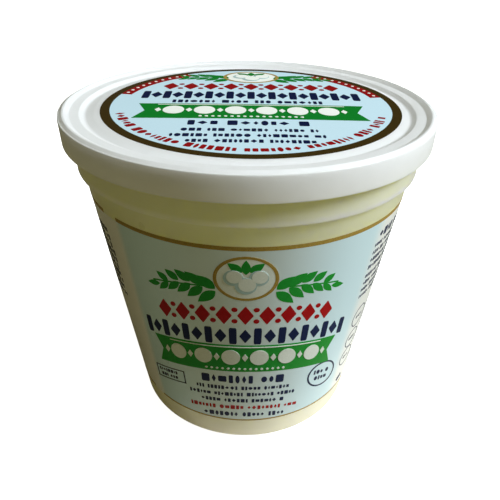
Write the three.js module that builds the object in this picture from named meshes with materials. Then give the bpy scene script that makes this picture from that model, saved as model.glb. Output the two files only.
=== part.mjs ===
// A shut round dairy tub: a tapered tub, full to the lid, and the lid pressed over its rim.
// Millimetres, +Z up. The origin is the centre of the base, on the surface the tub stands on.
import * as THREE from 'three';

// Driving dimensions
const overallHeight = 162;
const lidDiameter = 172;
const turnSegments = 72;

// Lid: heights are drops below the top of the rim, radii are from the axis
const lidWall = 1.2;
const lidSkirtDepth = 12.3;
const lidSkirtDraft = 0.5;
const panelCrownDrop = 1.4;
const panelEdgeRadius = 71.6;
const panelEdgeDrop = 1.95;
const moatInnerRadius = 73.1;
const moatOuterRadius = 74.6;
const moatDrop = 3.3;
const ledgeInnerRadius = 77.2;
const ledgeOuterRadius = 81.3;
const ledgeDrop = 1.5;
const rimInnerRadius = 83.2;
const rimOuterRadius = 84.0;
const rimBevelRadius = 85.7;
const rimBevelDrop = 0.8;

// Tub
const fitGap = 0.4;
const wallGroundRadius = 57.3;
const wallTaper = 0.151;
const footCornerRadius = 5.4;
const footRingWidth = 4;
const footRecess = 1.6;
const footRecessTaper = 1.2;
const shoulderLowHeight = 135.9;
const shoulderHighHeight = 138.0;
const bandRadius = 80.2;
const flangeLowHeight = 152.6;
const flangeHighHeight = 154;

// Edge rounding, as the length cut back from each corner
const softRound = 1.2;
const crispRound = 0.4;
const cornerSteps = 2;
const footArcSteps = 6;

const lidRadius = lidDiameter / 2;
const skirtBottomHeight = overallHeight - lidSkirtDepth;
const skirtInnerRadius = lidRadius - lidSkirtDraft - lidWall;

function wallRadius(height) {
  return wallGroundRadius + wallTaper * height;
}

// A corner of an outline: its radius, its height and how far its rounding reaches
function corner(radius, height, round = 0) {
  return { point: new THREE.Vector2(radius, height), round };
}

// Replaces each rounded corner by a short quadratic curve that is tangent to both its sides
function roundOutline(corners) {
  const outline = [];
  corners.forEach(({ point, round }, index) => {
    if (round === 0) {
      outline.push(point);
      return;
    }
    const towards = (other) => other.point.clone().sub(point).setLength(round).add(point);
    const from = towards(corners[index - 1]);
    const to = towards(corners[index + 1]);
    outline.push(...new THREE.QuadraticBezierCurve(from, point, to).getPoints(cornerSteps));
  });
  return outline;
}

// Turns an outline of radius and height about the vertical axis
function turned(outline) {
  const geometry = new THREE.LatheGeometry(outline, turnSegments);
  return geometry.rotateX(Math.PI / 2);
}

function named(name, geometry, material) {
  const mesh = new THREE.Mesh(geometry, material);
  mesh.name = name;
  return mesh;
}

// The lid's top face from its centre out to the ledge, or a plain copy of it some depth lower
function lidTopCorners(depth) {
  const top = overallHeight - depth;
  const soft = depth === 0 ? softRound : 0;
  const crisp = depth === 0 ? crispRound : 0;
  return [
    corner(0, top - panelCrownDrop),
    corner(panelEdgeRadius / 2, top - panelCrownDrop - (panelEdgeDrop - panelCrownDrop) / 4),
    corner(panelEdgeRadius, top - panelEdgeDrop, soft),
    corner(moatInnerRadius, top - moatDrop, crisp),
    corner(moatOuterRadius, top - moatDrop, crisp),
    corner(ledgeInnerRadius, top - ledgeDrop, soft),
    corner(ledgeOuterRadius, top - ledgeDrop, crisp),
  ];
}

// The foot: a recessed middle, a ring to stand on, and a round corner tangent to ground and wall
function footOutline() {
  const wallTilt = Math.atan(wallTaper);
  const arcCentreRadius = wallRadius(footCornerRadius) - footCornerRadius / Math.cos(wallTilt);
  const ringInnerRadius = arcCentreRadius - footRingWidth;
  const arc = new THREE.EllipseCurve(
    arcCentreRadius, footCornerRadius, footCornerRadius, footCornerRadius,
    -Math.PI / 2, -wallTilt);
  return [
    new THREE.Vector2(0, footRecess),
    new THREE.Vector2(ringInnerRadius - footRecessTaper, footRecess),
    new THREE.Vector2(ringInnerRadius, 0),
    ...arc.getPoints(footArcSteps),
  ];
}

function makeTub() {
  const rimTop = overallHeight - lidWall - fitGap;
  const rimRadius = skirtInnerRadius - fitGap;
  const upperCorners = [
    corner(wallRadius(shoulderLowHeight), shoulderLowHeight),
    corner(bandRadius, shoulderHighHeight, softRound),
    corner(bandRadius, flangeLowHeight),
    corner(rimRadius, flangeHighHeight),
    corner(rimRadius, rimTop - rimBevelDrop),
    corner(rimInnerRadius, rimTop),
    ...lidTopCorners(lidWall + fitGap).reverse(),
  ];
  const outline = [...footOutline(), ...roundOutline(upperCorners)];
  const cream = new THREE.MeshStandardMaterial({ color: 0xe6e2c0, roughness: 0.42, metalness: 0 });
  return named('tub', turned(outline), cream);
}

function makeLid() {
  const underTop = overallHeight - lidWall;
  const corners = [
    ...lidTopCorners(lidWall),
    corner(rimInnerRadius, underTop),
    corner(lidRadius - lidWall, underTop - rimBevelDrop),
    corner(skirtInnerRadius, skirtBottomHeight),
    corner(lidRadius - lidSkirtDraft, skirtBottomHeight),
    corner(lidRadius, overallHeight - 2 * rimBevelDrop, crispRound),
    corner(rimBevelRadius, overallHeight - rimBevelDrop, crispRound),
    corner(rimOuterRadius, overallHeight, crispRound),
    corner(rimInnerRadius, overallHeight, crispRound),
    ...lidTopCorners(0).reverse(),
  ];
  const white = new THREE.MeshStandardMaterial({ color: 0xf0f2f2, roughness: 0.38, metalness: 0 });
  return named('lid', turned(roundOutline(corners)), white);
}

const cheeseTub = new THREE.Group();
cheeseTub.add(makeTub(), makeLid());

export default cheeseTub;
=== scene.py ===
import math
import random

import bpy
import bmesh
from mathutils import Matrix, Vector


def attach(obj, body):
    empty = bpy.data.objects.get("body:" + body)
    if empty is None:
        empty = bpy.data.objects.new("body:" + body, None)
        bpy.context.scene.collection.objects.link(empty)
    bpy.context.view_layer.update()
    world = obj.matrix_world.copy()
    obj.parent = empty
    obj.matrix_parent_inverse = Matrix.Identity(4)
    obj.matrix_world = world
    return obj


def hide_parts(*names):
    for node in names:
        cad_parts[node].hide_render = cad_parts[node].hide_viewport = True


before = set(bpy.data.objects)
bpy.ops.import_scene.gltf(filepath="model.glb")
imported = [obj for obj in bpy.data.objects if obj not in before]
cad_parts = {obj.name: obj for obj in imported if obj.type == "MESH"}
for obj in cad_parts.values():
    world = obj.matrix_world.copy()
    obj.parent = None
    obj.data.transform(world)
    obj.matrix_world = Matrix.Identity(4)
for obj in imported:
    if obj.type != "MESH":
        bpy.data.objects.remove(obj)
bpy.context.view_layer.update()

# A shut round cheese tub: a milky moulded tub, its press-on lid and the print on both.
# Lengths in the dictionaries are millimetres and angles are degrees; the scene is in metres.
# Angles round the tub start at the front and grow towards the right.


def mm(length):
    return length / 1000


def hexColour(code):  # an sRGB hex colour as linear light with alpha
    channels = [int(code[i:i + 2], 16) / 255 for i in (1, 3, 5)]
    linear = [c / 12.92 if c <= 0.04045 else ((c + 0.055) / 1.055) ** 2.4 for c in channels]
    return (*linear, 1)


def deselectAll():
    if bpy.context.mode != "OBJECT":
        bpy.ops.object.mode_set(mode="OBJECT")
    bpy.ops.object.select_all(action="DESELECT")


def activate(piece):
    deselectAll()
    piece.select_set(True)
    bpy.context.view_layer.objects.active = piece


def editAll(piece):
    activate(piece)
    bpy.ops.object.mode_set(mode="EDIT")
    bpy.ops.mesh.select_all(action="SELECT")


def selectVerts(piece, wanted):  # in edit mode, selects the vertices that wanted(co) accepts
    bpy.ops.mesh.select_all(action="DESELECT")
    bpy.ops.mesh.select_mode(type="VERT")
    edit = bmesh.from_edit_mesh(piece.data)
    for vert in edit.verts:
        vert.select_set(wanted(vert.co))
    edit.select_flush(True)
    bmesh.update_edit_mesh(piece.data)


tubSize = {
    "wallGroundRadius": 57.3,  # where the wall's line meets the ground
    "wallTaper": 0.151,  # radius gained for each mm of height
    "footRound": 4.65,  # length cut back from the foot's corner
    "footRingWidth": 4.0,
    "footRingLean": 1.2,
    "footRecess": 1.6,
    "shoulderLow": 136.5,
    "lipRadius": 80.45,  # the band flares out to a small lip over the shoulder
    "lipLow": 137.5,
    "lipHigh": 140.6,
    "lipRound": 1.2,
    "bandRadius": 80.1,
    "flangeLow": 152.6,
    "flangeHigh": 154.0,
    "flangeRadius": 83.9,
    "flangeRound": 0.3,
    "rimTop": 160.4,
    "rimSlope": 0.8,
    "lidGap": 0.4,  # between the lid and what fills the tub
    "edgeRound": 0.4,
}

lidSize = {
    "top": 162.0,
    "radius": 86.0,
    "wall": 1.2,
    "panelCrownDrop": 1.4,  # drops are measured down from the top of the rim
    "panelEdgeRadius": 70.2,
    "panelEdgeDrop": 1.93,
    "panelStep": 12,  # between the points along the dome
    "moatLow": 74.4,  # the moat falls gently from the panel and rises steeply to the ledge
    "moatDrop": 3.0,
    "moatRound": 0.8,
    "ledgeInner": 76.8,
    "ledgeOuter": 81.0,
    "ledgeDrop": 1.5,
    "ledgeRound": 0.3,
    "rimInner": 83.2,
    "rimOuter": 84.0,
    "slopeOuter": 85.3,  # outside the rim's crest a slope, a narrow lip and then the skirt
    "slopeDrop": 0.95,
    "lipOuter": 85.9,
    "lipDrop": 1.05,
    "rimRound": 0.2,
    "skirtTopDrop": 1.6,
    "underSlopeDrop": 0.8,
    "skirtDepth": 12.3,
    "skirtDraft": 0.5,
    "skirtInnerRound": 0.3,
    "skirtOuterRound": 0.35,
}


def wallRadius(height):  # the tub's outer wall, in mm
    return tubSize["wallGroundRadius"] + tubSize["wallTaper"] * height


def panelDrop(radius):  # the lid's slightly domed middle, as a drop below the rim
    rise = lidSize["panelEdgeDrop"] - lidSize["panelCrownDrop"]
    return lidSize["panelCrownDrop"] + rise * (radius / lidSize["panelEdgeRadius"]) ** 2


# Tub and lid are turned from an outline whose corners each have a radius, a height and a rounding.
turnSize = {"steps": 240, "merge": 0.002, "smoothBelow": 28}


def drawOutline(name, corners):  # a vertex extruded from corner to corner, in the XZ plane
    deselectAll()
    radius, height, _ = corners[0]
    bpy.ops.mesh.primitive_plane_add(size=mm(1), location=(mm(radius), 0, mm(height)))
    outline = bpy.context.object
    outline.name = outline.data.name = name
    bpy.ops.object.transform_apply(location=True, rotation=True, scale=True)
    editAll(outline)
    bpy.ops.mesh.merge(type="CENTER")
    for nextRadius, nextHeight, _ in corners[1:]:
        step = (mm(nextRadius - radius), 0, mm(nextHeight - height))
        bpy.ops.mesh.extrude_vertices_move(TRANSFORM_OT_translate={"value": step})
        radius, height = nextRadius, nextHeight
    return outline


def roundCorners(outline, corners):  # one size of rounding at a time, with more steps in a large one
    for size in sorted({corner[2] for corner in corners if corner[2]}):
        places = [Vector((mm(r), 0, mm(h))) for r, h, rounding in corners if rounding == size]
        selectVerts(outline, lambda co: any((co - place).length < mm(0.01) for place in places))
        segments = 12 if size > 3 else 6 if size > 0.9 else 4
        bpy.ops.mesh.bevel(offset_type="OFFSET", offset=mm(size), segments=segments,
                           profile=0.5, affect="VERTICES")


def turnOutline(outline):
    s = turnSize
    bpy.ops.mesh.select_all(action="SELECT")
    bpy.ops.mesh.spin(steps=s["steps"], angle=math.tau, center=(0, 0, 0), axis=(0, 0, 1))
    bpy.ops.mesh.select_all(action="SELECT")
    bpy.ops.mesh.remove_doubles(threshold=mm(s["merge"]))
    bpy.ops.mesh.normals_make_consistent(inside=False)
    activate(outline)
    bpy.ops.object.shade_smooth_by_angle(angle=math.radians(s["smoothBelow"]))


def makeTurned(name, corners):
    piece = drawOutline(name, corners)
    roundCorners(piece, corners)
    turnOutline(piece)
    return piece


def lidTopCorners(drop, soft=0, crisp=0):  # from the centre out to the ledge
    s = lidSize
    top = s["top"] - drop
    domeRadii = range(0, int(s["panelEdgeRadius"]), s["panelStep"])
    return [(radius, top - panelDrop(radius), 0) for radius in domeRadii] + [
        (s["panelEdgeRadius"], top - s["panelEdgeDrop"], soft),
        (s["moatLow"], top - s["moatDrop"], soft),
        (s["ledgeInner"], top - s["ledgeDrop"], crisp),
        (s["ledgeOuter"], top - s["ledgeDrop"], crisp),
    ]


def makeTub():
    s, edge = tubSize, tubSize["edgeRound"]
    ringInner = s["wallGroundRadius"] - s["footRound"] - s["footRingWidth"]
    corners = [
        (0, s["footRecess"], 0),
        (ringInner - s["footRingLean"], s["footRecess"], edge),
        (ringInner, 0, edge),
        (s["wallGroundRadius"], 0, s["footRound"]),
        (wallRadius(s["shoulderLow"]), s["shoulderLow"], edge),
        (s["lipRadius"], s["lipLow"], edge),
        (s["bandRadius"], s["lipHigh"], s["lipRound"]),
        (s["bandRadius"], s["flangeLow"], edge),
        (s["flangeRadius"], s["flangeHigh"], s["flangeRound"]),
        (s["flangeRadius"], s["rimTop"] - s["rimSlope"], 0),
        (lidSize["rimInner"], s["rimTop"], 0),
    ] + lidTopCorners(lidSize["wall"] + s["lidGap"])[::-1]
    return makeTurned("milkyTub", corners)


def makeLid():
    s, crisp = lidSize, lidSize["rimRound"]
    underTop = s["top"] - s["wall"]
    skirtBottom = s["top"] - s["skirtDepth"]
    corners = lidTopCorners(s["wall"]) + [
        (s["rimInner"], underTop, 0),
        (s["radius"] - s["wall"], underTop - s["underSlopeDrop"], 0),
        (s["radius"] - s["skirtDraft"] - s["wall"], skirtBottom, s["skirtInnerRound"]),
        (s["radius"] - s["skirtDraft"], skirtBottom, s["skirtOuterRound"]),
        (s["radius"], s["top"] - s["skirtTopDrop"], crisp),
        (s["lipOuter"], s["top"] - s["lipDrop"], crisp),
        (s["slopeOuter"], s["top"] - s["slopeDrop"], crisp),
        (s["rimOuter"], s["top"], crisp),
        (s["rimInner"], s["top"], crisp),
    ] + lidTopCorners(0, s["moatRound"], s["ledgeRound"])[::-1]
    return makeTurned("pressOnLid", corners)


def addNode(tree, kind, settings=None, links=None):
    # settings: property or input (by name or index) to value; links: input to a node's output
    node = tree.nodes.new(kind)
    for key, value in (settings or {}).items():
        if isinstance(key, str) and hasattr(node, key):
            setattr(node, key, value)
        else:
            node.inputs[key].default_value = value
    for key, socket in (links or {}).items():
        tree.links.new(socket, node.inputs[key])
    return node


def newMaterial(name):
    material = bpy.data.materials.new(name)
    material.use_nodes = True
    tree = material.node_tree
    tree.nodes.clear()
    shader = addNode(tree, "ShaderNodeBsdfPrincipled")
    addNode(tree, "ShaderNodeOutputMaterial", links={"Surface": shader.outputs["BSDF"]})
    return material, tree, shader


def perMm(size):  # noise scale whose grain is about that many millimetres
    return 1000 / size


def cloudyColour(tree, coords, size, first, second):  # one colour that drifts into another
    clouds = addNode(tree, "ShaderNodeTexNoise",
                     {"Scale": perMm(size), "Detail": 3}, {"Vector": coords})
    mixed = addNode(tree, "ShaderNodeMix",
                    {"data_type": "RGBA", "A": hexColour(first), "B": hexColour(second)},
                    {"Factor": clouds.outputs["Fac"]})
    return mixed.outputs["Result"]


def mouldedSurface(tree, shader, coords, finish):
    # the orange peel of moulded plastic, and patches that are a little more or less polished
    peel = addNode(tree, "ShaderNodeTexNoise",
                   {"Scale": perMm(finish["peel"]), "Detail": 2}, {"Vector": coords})
    bump = addNode(tree, "ShaderNodeBump",
                   {"Strength": 1, "Distance": mm(finish["peelDepth"])}, {"Height": peel.outputs["Fac"]})
    patches = addNode(tree, "ShaderNodeTexNoise",
                      {"Scale": perMm(finish["patches"]), "Detail": 2}, {"Vector": coords})
    polish = addNode(tree, "ShaderNodeMapRange",  # noise seldom comes near 0 or 1
                     {"From Min": 0.2, "From Max": 0.8,
                      "To Min": finish["roughLow"], "To Max": finish["roughHigh"]},
                     {"Value": patches.outputs["Fac"]})
    tree.links.new(bump.outputs["Normal"], shader.inputs["Normal"])
    tree.links.new(polish.outputs["Result"], shader.inputs["Roughness"])


def letLightIn(shader, finish):
    # light wanders in the plastic before it comes out, each colour by its own share of the reach
    shader.subsurface_method = "BURLEY"  # smooth even where light wanders far
    shader.inputs["Subsurface Radius"].default_value = finish["lightShares"]
    shader.inputs["Subsurface Scale"].default_value = mm(finish["lightReach"])
    shader.inputs["IOR"].default_value = finish["ior"]


lidFinish = {
    "white": "#F2F3FA", "shade": "#ECEDF3", "clouds": 14,
    "peel": 1.6, "peelDepth": 0.012, "patches": 14, "roughLow": 0.3, "roughHigh": 0.4,
    "ior": 1.51, "lightShares": (1, 1, 1), "lightReach": 8,
    "glow": 0.35,  # share of the light that goes in
}


def whitePolyethylene():
    # low density polyethylene, injection moulded: white and waxy, with a soft broad gloss
    s = lidFinish
    material, tree, shader = newMaterial("polyethylene, moulded, white")
    coords = addNode(tree, "ShaderNodeTexCoord").outputs["Object"]
    colour = cloudyColour(tree, coords, s["clouds"], s["white"], s["shade"])
    tree.links.new(colour, shader.inputs["Base Color"])
    mouldedSurface(tree, shader, coords, s)
    letLightIn(shader, s)
    shader.inputs["Subsurface Weight"].default_value = s["glow"]
    return material


tubFinish = {
    "cream": "#F9F9CA", "creamShade": "#F6F5C6", "clouds": 18,
    "foot": "#FCF8DF",  # paler than the cream: painted light, for the light thrown up onto the foot from the mat below
    "lipHighlight": "#FFFEDA",  # a painted highlight: the lighter line along the lip over the shoulder
    "highlightFrom": -0.4, "highlightFull": 1.0,  # above the lip's low edge: where the painted highlight starts and fades
    "label": "#FAFBFC", "panel": "#D4EEFB", "panelMiddle": "#DAECF5",
    "labelLow": 16.0, "labelHigh": 125.3,  # the film's height; above and below the wall is bare
    "panelLeft": -45.5, "panelLeftSoft": 2.0,  # the blue panel's sides, and half of each fade
    "panelRight": 50.0, "panelRightSoft": 4.5,
    "middleIn": 8, "middleOut": 34,  # between these angles the panel's paler middle fades out
    "peel": 2.2, "peelDepth": 0.01, "patches": 20, "roughLow": 0.26, "roughHigh": 0.36,
    "ior": 1.49, "lightShares": (1, 0.98, 0.14), "lightReach": 150,  # far, as the tub is full
    "bandGlow": 0.65, "lipGlow": 0.87, "footGlow": 0.25,  # share of the light that goes in
}


def labelAngle(tree, x, y):  # degrees from the middle of the nearer panel, front or back
    towardsFront = addNode(tree, "ShaderNodeMath", {"operation": "MULTIPLY", 1: -1}, {0: y})
    radians = addNode(tree, "ShaderNodeMath",
                      {"operation": "ARCTAN2"}, {0: x, 1: towardsFront.outputs[0]})
    degrees = addNode(tree, "ShaderNodeMath",
                      {"operation": "MULTIPLY", 1: math.degrees(1)}, {0: radians.outputs[0]})
    return addNode(tree, "ShaderNodeMath",
                   {"operation": "WRAP", 1: 90, 2: -90}, {0: degrees.outputs[0]}).outputs[0]


def wallZones(tree, coords):  # masks that are 1 inside each zone of the wall and 0 outside it
    s, lipLow, lipHigh = tubFinish, tubSize["lipLow"], tubSize["lipHigh"]
    x, y, z = addNode(tree, "ShaderNodeSeparateXYZ", links={"Vector": coords}).outputs
    turn = labelAngle(tree, x, y)
    fromMiddle = addNode(tree, "ShaderNodeMath", {"operation": "ABSOLUTE"}, {0: turn}).outputs[0]
    fades = []
    for value, start, end in (
            (turn, s["panelLeft"] - s["panelLeftSoft"], s["panelLeft"] + s["panelLeftSoft"]),
            (turn, s["panelRight"] + s["panelRightSoft"], s["panelRight"] - s["panelRightSoft"]),
            (fromMiddle, s["middleOut"], s["middleIn"]),
            (z, mm(lipHigh), mm(lipLow + s["highlightFull"]))):
        fade = addNode(tree, "ShaderNodeMapRange",
                       {"interpolation_type": "SMOOTHSTEP", "From Min": start, "From Max": end},
                       {"Value": value})
        fades.append(fade.outputs["Result"])
    leftOn, rightOn, middle, belowBand = fades
    steps = []
    for operation, height in (("GREATER_THAN", s["labelLow"]), ("LESS_THAN", s["labelHigh"]),
                              ("GREATER_THAN", lipLow + s["highlightFrom"])):
        step = addNode(tree, "ShaderNodeMath", {"operation": operation, 1: mm(height)}, {0: z})
        steps.append(step.outputs[0])
    aboveFoot, belowTop, aboveShoulder = steps
    zones = {"aboveFoot": aboveFoot, "middle": middle}
    for name, first, second in (("panel", leftOn, rightOn), ("label", aboveFoot, belowTop),
                                ("lipHighlight", belowBand, aboveShoulder)):
        both = addNode(tree, "ShaderNodeMath", {"operation": "MULTIPLY"}, {0: first, 1: second})
        zones[name] = both.outputs[0]
    return zones


def wallColour(tree, coords, zones):  # bare cream wall with a painted highlight on the lip and painted light on the foot, and film with a blue panel
    s = tubFinish
    cream = cloudyColour(tree, coords, s["clouds"], s["cream"], s["creamShade"])
    # the lip's paler colour is a painted highlight along the shoulder
    withLipHighlight = addNode(tree, "ShaderNodeMix", {"data_type": "RGBA", "B": hexColour(s["lipHighlight"])},
                     {"Factor": zones["lipHighlight"], "A": cream})
    # the foot's paler colour is painted light, for the light thrown up onto it from below
    bare = addNode(tree, "ShaderNodeMix", {"data_type": "RGBA", "A": hexColour(s["foot"])},
                   {"Factor": zones["aboveFoot"], "B": withLipHighlight.outputs["Result"]})
    blue = addNode(tree, "ShaderNodeMix",
                   {"data_type": "RGBA", "A": hexColour(s["panel"]), "B": hexColour(s["panelMiddle"])},
                   {"Factor": zones["middle"]})
    film = addNode(tree, "ShaderNodeMix", {"data_type": "RGBA", "A": hexColour(s["label"])},
                   {"Factor": zones["panel"], "B": blue.outputs["Result"]})
    wall = addNode(tree, "ShaderNodeMix", {"data_type": "RGBA"}, {
        "Factor": zones["label"], "A": bare.outputs["Result"], "B": film.outputs["Result"]})
    return wall.outputs["Result"]


def wallGlow(tree, zones):  # most light goes in at the lip, little at the foot, none at the film
    s = tubFinish
    withLipHighlight = addNode(tree, "ShaderNodeMapRange",
                     {"To Min": s["bandGlow"], "To Max": s["lipGlow"]}, {"Value": zones["lipHighlight"]})
    bare = addNode(tree, "ShaderNodeMapRange", {"To Min": s["footGlow"]},
                   {"Value": zones["aboveFoot"], "To Max": withLipHighlight.outputs["Result"]})
    wall = addNode(tree, "ShaderNodeMapRange", {"To Max": 0},
                   {"Value": zones["label"], "To Min": bare.outputs["Result"]})
    return wall.outputs["Result"]


def milkyPolypropylene():
    # natural polypropylene, moulded round a printed film: light goes in and comes out yellow
    material, tree, shader = newMaterial("polypropylene, moulded, milky")
    coords = addNode(tree, "ShaderNodeTexCoord").outputs["Object"]
    zones = wallZones(tree, coords)
    tree.links.new(wallColour(tree, coords, zones), shader.inputs["Base Color"])
    tree.links.new(wallGlow(tree, zones), shader.inputs["Subsurface Weight"])
    mouldedSurface(tree, shader, coords, tubFinish)
    letLightIn(shader, tubFinish)
    return material


inkFinish = {"mottle": 0.7, "patches": 12, "roughLess": 0.04, "roughMore": 0.06, "ior": 1.49}


def printingInk(name, dark, light, rough=0.36, gloss=0.12):
    # a thin flat coat of ink in the moulded film: even, with a faint mottle and the film's sheen
    s = inkFinish
    material, tree, shader = newMaterial(name)
    coords = addNode(tree, "ShaderNodeTexCoord").outputs["Object"]
    strengths = []
    for size in (s["mottle"], s["patches"]):
        noise = addNode(tree, "ShaderNodeTexNoise",
                        {"Scale": perMm(size), "Detail": 3}, {"Vector": coords})
        strength = addNode(tree, "ShaderNodeMapRange",
                           {"From Min": 0.3, "From Max": 0.7}, {"Value": noise.outputs["Fac"]})
        strengths.append(strength.outputs["Result"])
    colour = addNode(tree, "ShaderNodeMix",
                     {"data_type": "RGBA", "A": hexColour(dark), "B": hexColour(light)},
                     {"Factor": strengths[0]})
    polish = addNode(tree, "ShaderNodeMapRange",
                     {"To Min": rough - s["roughLess"], "To Max": rough + s["roughMore"]},
                     {"Value": strengths[1]})
    tree.links.new(colour.outputs["Result"], shader.inputs["Base Color"])
    tree.links.new(polish.outputs["Result"], shader.inputs["Roughness"])
    shader.inputs["Specular IOR Level"].default_value = gloss
    shader.inputs["IOR"].default_value = s["ior"]
    return material


def lidInk(name, dark, light):  # matt paper-like print that stays deep in colour at low angles
    return printingInk(name, dark, light, rough=0.6, gloss=0.05)


inks = {  # names end up on the materials: what the ink is, its darker and its lighter mottle
    "gold": printingInk("ink, gold bronze", "#987C38", "#AC9048"),
    "green": printingInk("ink, leaf green", "#188A2C", "#1F9734"),
    "red": printingInk("ink, deep red", "#A0060E", "#AC0812"),
    "navy": printingInk("ink, dark navy", "#0A1A44", "#0E2150"),
    "white": printingInk("ink, white", "#DEE6E1", "#E8EEEA"),
    "shade": printingInk("ink, grey blue", "#A9C4C8", "#B4CDD0"),
    "lidGreen": lidInk("ink, dark leaf green", "#047423", "#087B29"),
    "lidRed": lidInk("ink, dark red", "#86080F", "#920A13"),
    "lidNavy": lidInk("ink, deep navy", "#081238", "#0C1842"),
    "brown": lidInk("ink, dark brown", "#33260A", "#3C2D0F"),
    "lidBlue": lidInk("ink, pale blue", "#C3DFF1", "#C9E4F5"),
    "lidWhite": lidInk("ink, opaque white", "#EEF1F0", "#F5F7F6"),
}


# The print is made of flat outlines, one unit across, each modelled once and then copied.
shapeSize = {
    "disc": 40, "field": 180, "leaf": 28, "lozenge": 4,  # corners; the field is a large disc
    "ring": (64, 0.055), "thinRing": (64, 0.04), "arc": (160, 0.0405),  # corners and width
    "barEase": 0.16, "lozengeEase": 0.05, "halfArc": 23.5, "leafTaper": 0.28,
    "bandSteps": 16, "notch": 0.04,
}


def startOblong():  # in edit mode, with all of it selected
    deselectAll()
    bpy.ops.mesh.primitive_plane_add(size=1)
    editAll(bpy.context.object)


def startCircle(corners):  # filled, in edit mode, with all of it selected
    deselectAll()
    bpy.ops.mesh.primitive_circle_add(vertices=corners, radius=0.5, fill_type="NGON")
    editAll(bpy.context.object)


def startRing(corners, width):
    startCircle(corners)
    bpy.ops.mesh.inset(thickness=width)
    bpy.ops.mesh.delete(type="FACE")  # the filling, which leaves the rim


def endShape(name):
    bpy.ops.object.mode_set(mode="OBJECT")
    shape = bpy.context.object
    shape.name = name + "Shape"
    shape.hide_render = True
    return shape


def makeShapes():
    s, shapes = shapeSize, {}
    startOblong()
    shapes["rule"] = endShape("rule")

    startOblong()
    bpy.ops.mesh.bevel(offset=s["barEase"], segments=3, affect="VERTICES")
    shapes["bar"] = endShape("bar")

    startCircle(s["lozenge"])
    bpy.ops.mesh.bevel(offset=s["lozengeEase"], segments=2, affect="VERTICES")
    shapes["lozenge"] = endShape("lozenge")

    for name in ("disc", "field"):
        startCircle(s[name])
        shapes[name] = endShape(name)
    for name in ("ring", "thinRing"):
        startRing(*s[name])
        shapes[name] = endShape(name)

    startRing(*s["arc"])  # a ring that is cut down to its top
    halfArc = math.radians(s["halfArc"])
    selectVerts(bpy.context.object, lambda co: abs(math.atan2(co.x, co.y)) > halfArc)
    bpy.ops.mesh.delete(type="VERT")
    shapes["arc"] = endShape("arc")

    startCircle(s["leaf"])  # drawn in to a pointed leaf that is widest below its middle
    edit = bmesh.from_edit_mesh(bpy.context.object.data)
    for vert in edit.verts:
        along = vert.co.y * 2
        vert.co.x *= math.sqrt(max(0.0, 1 - along * along)) * (1 - s["leafTaper"] * along)
    bmesh.update_edit_mesh(bpy.context.object.data)
    bpy.ops.mesh.select_all(action="SELECT")
    bpy.ops.mesh.remove_doubles(threshold=0.001)
    shapes["leaf"] = endShape("leaf")

    deselectAll()
    bpy.ops.mesh.primitive_grid_add(x_subdivisions=s["bandSteps"], y_subdivisions=2, size=1)
    editAll(bpy.context.object)
    for side in (-1, 1):  # a notch in each end
        selectVerts(bpy.context.object, lambda co: abs(co.y) < 0.01 and co.x * side > 0.49)
        bpy.ops.transform.translate(value=(-side * s["notch"], 0, 0))
    shapes["band"] = endShape("band")
    return shapes


# A mark is a shape, its place across and up, its width, its height and its turn. On the lid both
# places are lengths. On the wall the place across is an angle, and unit gives the mm in a degree.
archSize = {"drop": 0.004, "reach": 48}  # rows droop to the sides by drop times degrees squared
inkSize = {
    "thickness": 0.05, "sunk": 0.03, "layer": 0.05, "smoothBelow": 30,
    "stagger": 0.006, "staggers": 5,  # heights that marks of one ink take in turn, to stay apart
}


def degreeWidth(height):  # mm of wall for each degree at that height
    return wallRadius(height) * math.radians(1)


def plainWidth(height):
    return 1


def layOnWall(co, arch):  # x is the angle, y the height, z stands off the wall
    angle, height = co.x * 1000, co.y * 1000
    fromMiddle = (angle + 90) % 180 - 90
    height -= arch * min(abs(fromMiddle), archSize["reach"]) ** 2
    turn, radius = math.radians(angle), mm(wallRadius(height)) + co.z
    return Vector((radius * math.sin(turn), -radius * math.cos(turn), mm(height)))


def layOnLid(co, arch):
    radius = math.hypot(co.x, co.y) * 1000
    return Vector((co.x, co.y, mm(lidSize["top"] - panelDrop(radius)) + co.z))


surfaces = {  # how flat print is measured, cut into cells and laid on each plastic
    "wall": {"unit": degreeWidth, "cuts": (Vector((1, 0, 0)),), "cell": 3.0, "lay": layOnWall},
    "lid": {"unit": plainWidth, "cuts": (Vector((1, 0, 0)), Vector((0, 1, 0))), "cell": 10.0,
            "lay": layOnLid},
}


def copyMark(name, number, mark, unit):
    shape, across, up, width, height, turn = mark
    copy = bpy.data.objects.new(name, shapes[shape].data.copy())
    bpy.context.scene.collection.objects.link(copy)
    lift = number % inkSize["staggers"] * inkSize["stagger"]
    copy.data.transform(
        Matrix.Translation((mm(across), mm(up), mm(lift)))
        @ Matrix.Diagonal((1 / unit(up), 1, 1, 1))
        @ Matrix.Rotation(math.radians(turn), 4, "Z")
        @ Matrix.Diagonal((mm(width), mm(height), 1, 1)))
    return copy


def cutAcross(piece, normal, step):  # slices that let a flat mesh follow a curve
    places = [vert.co.dot(normal) for vert in piece.data.vertices]
    start, count = min(places), int(round((max(places) - min(places)) / step))
    editAll(piece)
    for i in range(1, count):
        bpy.ops.mesh.select_all(action="SELECT")
        bpy.ops.mesh.bisect(plane_co=normal * (start + i * step), plane_no=normal)
    bpy.ops.object.mode_set(mode="OBJECT")


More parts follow.
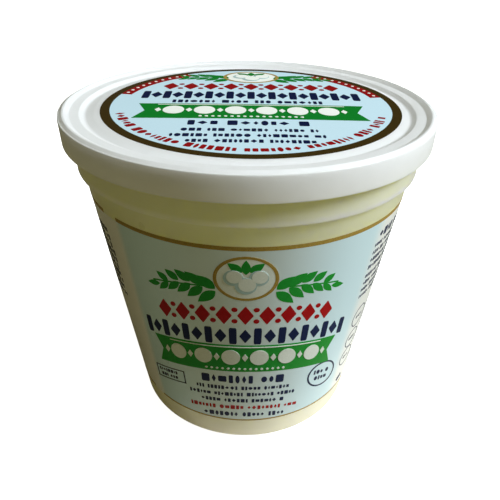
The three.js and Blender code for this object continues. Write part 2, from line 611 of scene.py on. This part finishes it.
def printMarks(name, ink, marks, surface, layer=0, arch=0.0):
    # copies each mark's outline to its place on a flat sheet, then lays the sheet on the plastic
    s = surfaces[surface]
    deselectAll()
    copies = [copyMark(name, i, mark, s["unit"]) for i, mark in enumerate(marks)]
    for copy in copies:
        copy.select_set(True)
    piece = copies[0]
    bpy.context.view_layer.objects.active = piece
    bpy.ops.object.join()
    piece.name = piece.data.name = name
    for normal in s["cuts"]:
        cutAcross(piece, normal, mm(s["cell"]))
    activate(piece)
    coat = piece.modifiers.new("Coat", "SOLIDIFY")
    coat.thickness = mm(inkSize["sunk"] + inkSize["thickness"] + layer * inkSize["layer"])
    coat.offset = 1
    bpy.ops.object.modifier_apply(modifier=coat.name)
    for vert in piece.data.vertices:
        vert.co.z -= mm(inkSize["sunk"])
        vert.co = s["lay"](vert.co, arch)
    bpy.ops.object.shade_smooth_by_angle(angle=math.radians(inkSize["smoothBelow"]))
    piece.data.materials.clear()
    piece.data.materials.append(inks[ink])
    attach(piece, "root")


def row(shape, count, pitch, across, up, width, height, unit):
    # equal marks side by side, centred on across
    first = across - (count - 1) / 2 * pitch / unit(up)
    return [(shape, first + i * pitch / unit(up), up, width, height, 0) for i in range(count)]


strokeSize = {  # widths, heights and gaps are shares of a line's height
    "group": (3, 8), "shapes": ("bar", "bar", "bar", "disc", "lozenge"),
    "widths": (0.36, 0.5, 0.72), "heights": (0.74, 1, 1), "gap": 0.2, "groupGap": 0.5,
}


def strokes(dice, length, tall, place):
    # small strokes in uneven groups, as close as fine print; place puts a distance on its line
    s, marks, pen = strokeSize, [], -length / 2
    while pen < length / 2:
        for _ in range(dice.randint(*s["group"])):
            shape = dice.choice(s["shapes"])
            width = tall * dice.choice(s["widths"])
            high = tall * dice.choice(s["heights"])
            if pen + width > length / 2:
                break
            across, up, turn = place(pen + width / 2)
            marks.append((shape, across, up, width, high, turn))
            pen += width + tall * s["gap"]
        pen += tall * s["groupGap"]
    return marks


def fineLine(dice, across, up, length, tall, unit=degreeWidth):
    return strokes(dice, length, tall, lambda along: (across + along / unit(up), up, 0))


def frameMarks(across, up, width, height, line):  # four rules round an oblong on the wall
    half = width / 2 / degreeWidth(up)
    return [("rule", across, up + height / 2, width + line, line, 0),
            ("rule", across, up - height / 2, width + line, line, 0),
            ("rule", across - half, up, line, height, 0),
            ("rule", across + half, up, line, height, 0)]


leafSize = {
    "pairs": 5, "step": 5.0, "firstStep": 0.4, "lastStep": 0.5,
    "length": 10.5, "width": 5.0, "away": 4.0, "tilt": 40,
    "shrink": 0.42,  # by this share from the first pair to the tip
    "tipWidth": 3, "tipLength": 7, "bow": 3.2, "stemBow": 0.6, "stemWidth": 0.8,
}


def leafSpray(across, up, side, unit):  # a bowed twig, leaves in pairs
    s, marks = leafSize, []
    for i in range(s["pairs"]):
        share = i / s["pairs"]
        along = (i + s["firstStep"]) * s["step"]
        lift = s["bow"] * math.sin(share * math.pi)
        size = 1 - s["shrink"] * share
        for flip in (1, -1):
            tilt = -side * (90 - flip * s["tilt"])
            marks.append(("leaf", across + side * along / unit(up),
                          up + lift + flip * s["away"] * size,
                          s["width"] * size, s["length"] * size, tilt))
    tip = (s["pairs"] + s["lastStep"]) * s["step"]
    marks.append(("leaf", across + side * tip / unit(up), up,
                  s["tipWidth"], s["tipLength"], -side * 90))
    marks.append(("rule", across + side * tip / 2 / unit(up), up + s["bow"] * s["stemBow"],
                  tip, s["stemWidth"], 0))
    return marks


ballSize = {
    "balls": ((-5.2, 0.6, 8.2), (5.2, 0.6, 8.2), (0, -3.6, 9.0)),  # across, up and size
    "litSize": 0.8, "litAcross": 0.06, "litUp": 0.07,  # the lit part, as shares of its ball
    "leaves": ((0, 6.2, 0), (-4.4, 6.0, 52), (4.4, 6.0, -52)),  # across, up and tilt
    "leafWidth": 3.8, "leafLength": 7.4,
}


def ballsAndLeaves(middle, up, scale, unit):  # three cheese balls with a few leaves among them
    s, marks = ballSize, {"ballShade": [], "ball": [], "leaf": []}
    for across, rise, size in s["balls"]:
        size *= scale
        at, level = middle + across * scale / unit(up), up + rise * scale
        marks["ballShade"].append(("disc", at, level, size, size, 0))
        marks["ball"].append(("disc", at + size * s["litAcross"] / unit(up),
                              level + size * s["litUp"],
                              size * s["litSize"], size * s["litSize"], 0))
    for across, rise, tilt in s["leaves"]:
        marks["leaf"].append(("leaf", middle + across * scale / unit(up), up + rise * scale,
                              s["leafWidth"] * scale, s["leafLength"] * scale, tilt))
    return marks


def mainMarks(design, middle, unit):  # medallion, sprays, rows and band, on the wall and on the lid
    e, r, n, b = (design[part] for part in ("emblem", "redRow", "navyRow", "band"))
    marks = ballsAndLeaves(middle, e["up"], e["scale"], unit)
    for name, shape in (("medallion", "disc"), ("ring", "ring")):
        marks[name] = [(shape, middle, e["up"], e["width"], e["height"], 0)]
    green = []
    for side in (-1, 1):
        green += leafSpray(middle + side * e["sprayAway"], e["sprayUp"], side, unit)
    green.append(("band", middle, b["up"], b["width"], b["height"], 0))
    red = row("lozenge", r["count"], r["pitch"], middle, r["up"], *r["lozenge"], unit)
    for rise in (r["dotRise"], -r["dotRise"]):
        red += row("disc", r["count"] - 1, r["pitch"], middle, r["up"] + rise, *r["dot"], unit)
    navy = row("bar", n["count"], n["pitch"], middle, n["up"], *n["bar"], unit)
    navy += row("lozenge", n["count"] - 1, n["pitch"], middle, n["up"], *n["lozenge"], unit)
    ovalUp, beadUp = b["up"] + b["ovalRise"], b["up"] - b["beadDrop"]
    white = row("disc", b["ovals"], b["pitch"], middle, ovalUp, *b["oval"], unit)
    white += row("lozenge", b["ovals"] + 1, b["pitch"], middle, ovalUp, *b["lozenge"], unit)
    white += row("disc", b["beads"], b["beadPitch"], middle, beadUp, *b["bead"], unit)
    white.append(("rule", middle, b["up"] + b["ruleRise"], *b["rule"], 0))
    return {**marks, "green": green, "red": red, "navy": navy, "white": white}


panelPrint = {
    "middles": ((0, 5), (180, 185)),  # front and back, each with the seed of its fine print
    "emblem": {"up": 110.8, "width": 27.0, "height": 23.5, "scale": 1,
               "sprayUp": 104.5, "sprayAway": 11.5},
    "redRow": {"up": 90.3, "count": 9, "pitch": 9.4, "lozenge": (7.2, 11.0),
               "dot": (2.6, 2.6), "dotRise": 3.4},
    "navyRow": {"up": 77.6, "count": 10, "pitch": 11.0, "bar": (3.4, 10.2), "lozenge": (5.4, 8.6)},
    "band": {"up": 62.8, "width": 92, "height": 18.0, "ovals": 6, "pitch": 13.0,
             "oval": (8.6, 9.8), "lozenge": (2.8, 5.0), "ovalRise": 0.8,
             "beads": 15, "beadPitch": 2.6, "bead": (1.3, 1.3), "beadDrop": 7.0,
             "rule": (74, 0.5), "ruleRise": 7.7},
    "lines": (("navy", 48.0, 42, 5.6), ("navy", 41.6, 48, 2.7), ("navy", 36.8, 56, 2.7),
              ("navy", 32.0, 44, 2.7), ("red", 26.6, 56, 3.0), ("navy", 21.0, 42, 3.4)),
    "boxAcross": -36, "boxUp": 44.5, "box": (19, 8.5), "boxRule": 0.7,
    "boxLines": ((46.3, 15, 2.2), (42.8, 13, 2.2)),  # lines: height up, length and own height
    "stampAcross": 37.5, "stampUp": 45.0, "stamp": (19.5, 18.5),
    "stampLines": ((47.2, 12, 3.0), (42.6, 10, 3.0)),
}


def panelMarks(middle, seed):
    s, dice = panelPrint, random.Random(seed)
    marks = mainMarks(s, middle, degreeWidth)
    for ink, up, length, tall in s["lines"]:
        marks[ink] += fineLine(dice, middle, up, length, tall)
    box, stamp = middle + s["boxAcross"], middle + s["stampAcross"]
    marks["navy"] += frameMarks(box, s["boxUp"], *s["box"], s["boxRule"])
    for up, length, tall in s["boxLines"]:
        marks["navy"] += fineLine(dice, box, up, length, tall)
    marks["navy"].append(("ring", stamp, s["stampUp"], *s["stamp"], 0))
    for up, length, tall in s["stampLines"]:
        marks["navy"] += fineLine(dice, stamp, up, length, tall)
    return marks


sidePrint = {  # turns are measured from where a strip starts, at a panel's right side
    "strips": ((49.5, 3), (229.5, 4)),  # each start, with the seed of its fine print
    "titleTurn": 11, "titleUp": 127.0, "titleLength": 26, "titleTall": 4.4,
    "linesUp": (121.5, 117.4, 113.3, 109.2, 104.1, 100.0, 95.9, 91.8),
    "lineLengths": (34, 29, 24), "lineTall": 2.4,
    "ringTurn": 7, "rings": ((75.5, 13.5), (60.5, 12.5), (47.5, 12.5)),
    "ringLine": (6.5, 1.8), "ringLineRise": 0.2, "flagUp": 31, "flag": (5, 3.4), "flagTilt": 30,
    "tableTurn": 27, "tableLow": 34, "tableHigh": 78, "tableWidth": 24, "tableRows": 10,
    "frameRule": 0.7, "rowRule": 0.35,
    "columnTurn": 67, "columnUp": range(124, 84, -4), "columnWidth": 22, "columnTall": 3.2,
}


def sideMarks(start, seed):  # between the two panels: fine print, rings, and a ruled table
    s, dice = sidePrint, random.Random(seed)
    ring, table, column = (start + s[turn] for turn in ("ringTurn", "tableTurn", "columnTurn"))
    navy = fineLine(dice, start + s["titleTurn"], s["titleUp"], s["titleLength"], s["titleTall"])
    for i, up in enumerate(s["linesUp"]):
        length = s["lineLengths"][i % len(s["lineLengths"])]
        navy += fineLine(dice, start + length / 2 / degreeWidth(up), up, length, s["lineTall"])
    for up, size in s["rings"]:
        navy.append(("thinRing", ring, up, size, size, 0))
        navy += fineLine(dice, ring, up + s["ringLineRise"], *s["ringLine"])
    navy.append(("bar", ring, s["flagUp"], *s["flag"], s["flagTilt"]))
    tall = s["tableHigh"] - s["tableLow"]
    navy += frameMarks(table, s["tableLow"] + tall / 2, s["tableWidth"], tall, s["frameRule"])
    for i in range(1, s["tableRows"]):
        up = s["tableLow"] + i * tall / s["tableRows"]
        navy.append(("rule", table, up, s["tableWidth"], s["rowRule"], 0))
    for up in s["columnUp"]:
        navy += fineLine(dice, column, up, s["columnWidth"], s["columnTall"])
    return navy


goldLines = {"from": -46, "to": 306, "step": 12,
             "lines": ((126.2, 2.0), (16.3, 1.0))}  # each line's height up the wall, and its width


def goldMarks():  # lines most of the way round the wall, in short rules
    s, marks = goldLines, []
    count = math.ceil((s["to"] - s["from"]) / s["step"])
    step = (s["to"] - s["from"]) / count
    for up, width in s["lines"]:
        for i in range(count):
            marks.append(("rule", s["from"] + (i + 0.5) * step, up, step * degreeWidth(up), width, 0))
    return marks


def makeTubPrint():
    front, back = (panelMarks(middle, seed) for middle, seed in panelPrint["middles"])
    marks = {name: front[name] + back[name] for name in front}
    for start, seed in sidePrint["strips"]:
        marks["navy"] += sideMarks(start, seed)
    marks["white"] += marks["ball"]
    printMarks("tubGoldLines", "gold", goldMarks(), "wall")
    for name, ink, drawn, layer in (
            ("tubMedallions", "white", "medallion", 1), ("tubGoldRings", "gold", "ring", 2),
            ("tubGreenPrint", "green", "green", 0), ("tubLeaves", "green", "leaf", 2),
            ("tubRedPrint", "red", "red", 0), ("tubNavyPrint", "navy", "navy", 0),
            ("tubBallShades", "shade", "ballShade", 3), ("tubWhitePrint", "white", "white", 4)):
        printMarks(name, ink, marks[drawn], "wall", layer, archSize["drop"])


lidPrint = {
    "seed": 11, "across": 1.4, "up": 0.3, "radius": 69.2, "field": 64.9,  # the printed disc
    "arcTurn": 55, "beads": 10, "beadTurn": 4.4, "beadRadius": 62.7, "bead": 1.5,
    "rimLine": (60.6, 196, 344, 4.4),  # radius, the angles that it runs between, and its height
    "emblem": {"up": 50.0, "width": 30.0, "height": 25.0, "scale": 1.05,
               "sprayUp": 46, "sprayAway": 14},
    "redRow": {"up": 29.5, "count": 9, "pitch": 10.2, "lozenge": (8.0, 12.6),
               "dot": (2.8, 2.8), "dotRise": 3.9},
    "navyRow": {"up": 13.4, "count": 11, "pitch": 10.2, "bar": (3.6, 12.5), "lozenge": (5.6, 10.0)},
    "band": {"up": -12.6, "width": 104, "height": 21.5, "ovals": 6, "pitch": 14.0,
             "oval": (9.6, 11.4), "lozenge": (3.0, 5.5), "ovalRise": 1.0,
             "beads": 17, "beadPitch": 2.8, "bead": (1.5, 1.5), "beadDrop": 7.8,
             "rule": (86, 0.6), "ruleRise": 9.0},
    "lines": ((2.4, 74, 4.6), (-29.0, 54, 6.0), (-37.8, 58, 3.6), (-44.4, 66, 3.6),
              (-50.8, 52, 3.6)),
}


def roundMark(shape, radius, turn=0):  # about the middle of the lid's printed disc
    return (shape, lidPrint["across"], lidPrint["up"], radius * 2, radius * 2, turn)


def onCircle(radius, degrees):  # about the same middle, from the right and anticlockwise
    angle = math.radians(degrees)
    return (lidPrint["across"] + radius * math.cos(angle), lidPrint["up"] + radius * math.sin(angle))


def fineArc(dice, radius, start, end, tall):
    def place(along):
        degrees = (start + end) / 2 + math.degrees(along / radius)
        return (*onCircle(radius, degrees), degrees - 90)
    return strokes(dice, math.radians(end - start) * radius, tall, place)


def makeLidPrint():
    s, dice = lidPrint, random.Random(lidPrint["seed"])
    marks = mainMarks(s, s["across"], plainWidth)
    for name in ("radius", "field"):
        marks[name] = [roundMark("field", s[name])]
    for side in (-1, 1):
        marks["red"].append(roundMark("arc", s["field"], side * s["arcTurn"]))
        for i in range(s["beads"]):
            turn = s["arcTurn"] + (i - (s["beads"] - 1) / 2) * s["beadTurn"]
            place = onCircle(s["beadRadius"], 90 + side * turn)
            marks["white"].append(("disc", *place, s["bead"], s["bead"], 0))
    marks["white"] += marks["ball"]
    marks["red"] += fineArc(dice, *s["rimLine"])
    for up, length, tall in s["lines"]:
        marks["navy"] += fineLine(dice, s["across"], up, length, tall, plainWidth)
    for name, ink, drawn, layer in (
            ("lidBrownRing", "brown", "radius", 0), ("lidBlueField", "lidBlue", "field", 1),
            ("lidRedPrint", "lidRed", "red", 2), ("lidGreenPrint", "lidGreen", "green", 2),
            ("lidMedallion", "lidWhite", "medallion", 2), ("lidGoldRing", "gold", "ring", 3),
            ("lidLeaves", "lidGreen", "leaf", 3), ("lidNavyPrint", "lidNavy", "navy", 2),
            ("lidBallShades", "shade", "ballShade", 4), ("lidWhitePrint", "lidWhite", "white", 5)):
        printMarks(name, ink, marks[drawn], "lid", layer)


cameraSize = {
    "focal": 573.32, "frameWidth": 500, "sensor": 36,  # focal length in pixels of the frame
    "back": 266.13, "height": 237.70, "clipStart": 5,
    "pitchDown": 30.50, "yawRight": 0.425, "roll": 0.919,
}


def makeCamera():
    s = cameraSize
    cameraData = bpy.data.cameras.new("camera")
    cameraData.sensor_width = s["sensor"]
    cameraData.lens = s["focal"] * s["sensor"] / s["frameWidth"]
    cameraData.clip_start = mm(s["clipStart"])
    camera = bpy.data.objects.new("camera", cameraData)
    bpy.context.scene.collection.objects.link(camera)
    turn = (Matrix.Rotation(math.radians(-s["yawRight"]), 4, "Z")
            @ Matrix.Rotation(math.radians(90 - s["pitchDown"]), 4, "X")
            @ Matrix.Rotation(math.radians(s["roll"]), 4, "Z"))
    camera.matrix_world = Matrix.Translation((0, mm(-s["back"]), mm(s["height"]))) @ turn
    bpy.context.scene.camera = camera


studioSize = {  # away, size and paperSize are in metres, power in watts
    "window": {"turn": 76, "rise": 40, "away": 3.0, "aim": 90, "size": 1.2, "power": 126,
               "colour": "#F6FEFF"},
    "back": {"turn": -150, "rise": 38, "away": 3.0, "aim": 90, "size": 2.2, "power": 3,
             "colour": "#FFFFFF"},
    "roomColour": "#FFF29E", "roomStrength": 0.125,
    "paper": "#FFFFFF", "paperGlow": 0.95, "paperRough": 0.9, "paperSize": 12,
    "counter": "#7C7359", "mat": "#E2DACE", "matInner": 68, "matOuter": 96, "matAcross": 18,
}


def makeLight(name):  # turn is measured from the front towards the right, rise from level
    s = studioSize[name]
    turn, rise = math.radians(s["turn"]), math.radians(s["rise"])
    aim = Vector((0, 0, mm(s["aim"])))
    place = aim + s["away"] * Vector((math.sin(turn) * math.cos(rise),
                                      -math.cos(turn) * math.cos(rise), math.sin(rise)))
    lightData = bpy.data.lights.new(name, "AREA")
    lightData.shape = "DISK"
    lightData.size = s["size"]
    lightData.energy = s["power"]
    lightData.color = hexColour(s["colour"])[:3]
    light = bpy.data.objects.new(name, lightData)
    light.visible_camera = False
    bpy.context.scene.collection.objects.link(light)
    facing = (aim - place).to_track_quat("-Z", "Y")
    light.matrix_world = Matrix.Translation(place) @ facing.to_matrix().to_4x4()


def makeRoom():  # a dim warm room that the camera sees as white
    s = studioSize
    world = bpy.data.worlds.new("studio")
    bpy.context.scene.world = world
    world.use_nodes = True
    tree = world.node_tree
    tree.nodes.clear()
    seen = addNode(tree, "ShaderNodeLightPath").outputs["Is Camera Ray"]
    room = addNode(tree, "ShaderNodeBackground",
                   {"Color": hexColour(s["roomColour"]), "Strength": s["roomStrength"]})
    backdrop = addNode(tree, "ShaderNodeBackground", {"Color": hexColour(s["paper"]), "Strength": 1})
    both = addNode(tree, "ShaderNodeMixShader",
                   links={0: seen, 1: room.outputs[0], 2: backdrop.outputs[0]})
    addNode(tree, "ShaderNodeOutputWorld", links={"Surface": both.outputs[0]})


def makeFloor():  # white paper to the camera, but it lights the tub as a pale mat on a brown counter
    s = studioSize
    deselectAll()
    bpy.ops.mesh.primitive_plane_add(size=s["paperSize"], location=(0, 0, 0))
    floor = bpy.context.object
    floor.name = "paleFloor"
    material, tree, shader = newMaterial("white paper sweep")
    seen = addNode(tree, "ShaderNodeLightPath").outputs["Is Camera Ray"]
    coords = addNode(tree, "ShaderNodeTexCoord").outputs["Object"]
    away = addNode(tree, "ShaderNodeVectorMath",
                   {"operation": "DISTANCE", 1: (mm(s["matAcross"]), 0, 0)}, {0: coords})
    matEdge = addNode(tree, "ShaderNodeMapRange",
                      {"From Min": mm(s["matInner"]), "From Max": mm(s["matOuter"])},
                      {"Value": away.outputs["Value"]})
    table = addNode(tree, "ShaderNodeMix",
                    {"data_type": "RGBA", "A": hexColour(s["mat"]), "B": hexColour(s["counter"])},
                    {"Factor": matEdge.outputs["Result"]})
    colour = addNode(tree, "ShaderNodeMix", {"data_type": "RGBA", "B": hexColour(s["paper"])},
                     {"Factor": seen, "A": table.outputs["Result"]})
    glow = addNode(tree, "ShaderNodeMath", {"operation": "MULTIPLY", 1: s["paperGlow"]}, {0: seen})
    tree.links.new(colour.outputs["Result"], shader.inputs["Base Color"])
    tree.links.new(glow.outputs[0], shader.inputs["Emission Strength"])
    shader.inputs["Emission Color"].default_value = hexColour(s["paper"])
    shader.inputs["Roughness"].default_value = s["paperRough"]
    floor.data.materials.append(material)


makeCamera()
makeRoom()
for name in ("window", "back"):
    makeLight(name)
makeFloor()
print("camera, light and floor are in place")

tub = makeTub()
tub.data.materials.append(milkyPolypropylene())
lid = makeLid()
lid.data.materials.append(whitePolyethylene())
for piece, node, slot in ((tub, "tub", "tub_plastic"), (lid, "lid", "lid_plastic")):
    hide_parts(node)
    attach(piece, "root")
print("tub and lid are turned")

shapes = makeShapes()
makeTubPrint()
print("the tub is printed")
makeLidPrint()
print("the lid is printed")
for shape in shapes.values():
    bpy.data.objects.remove(shape)

bpy.context.scene.view_settings.view_transform = "Standard"
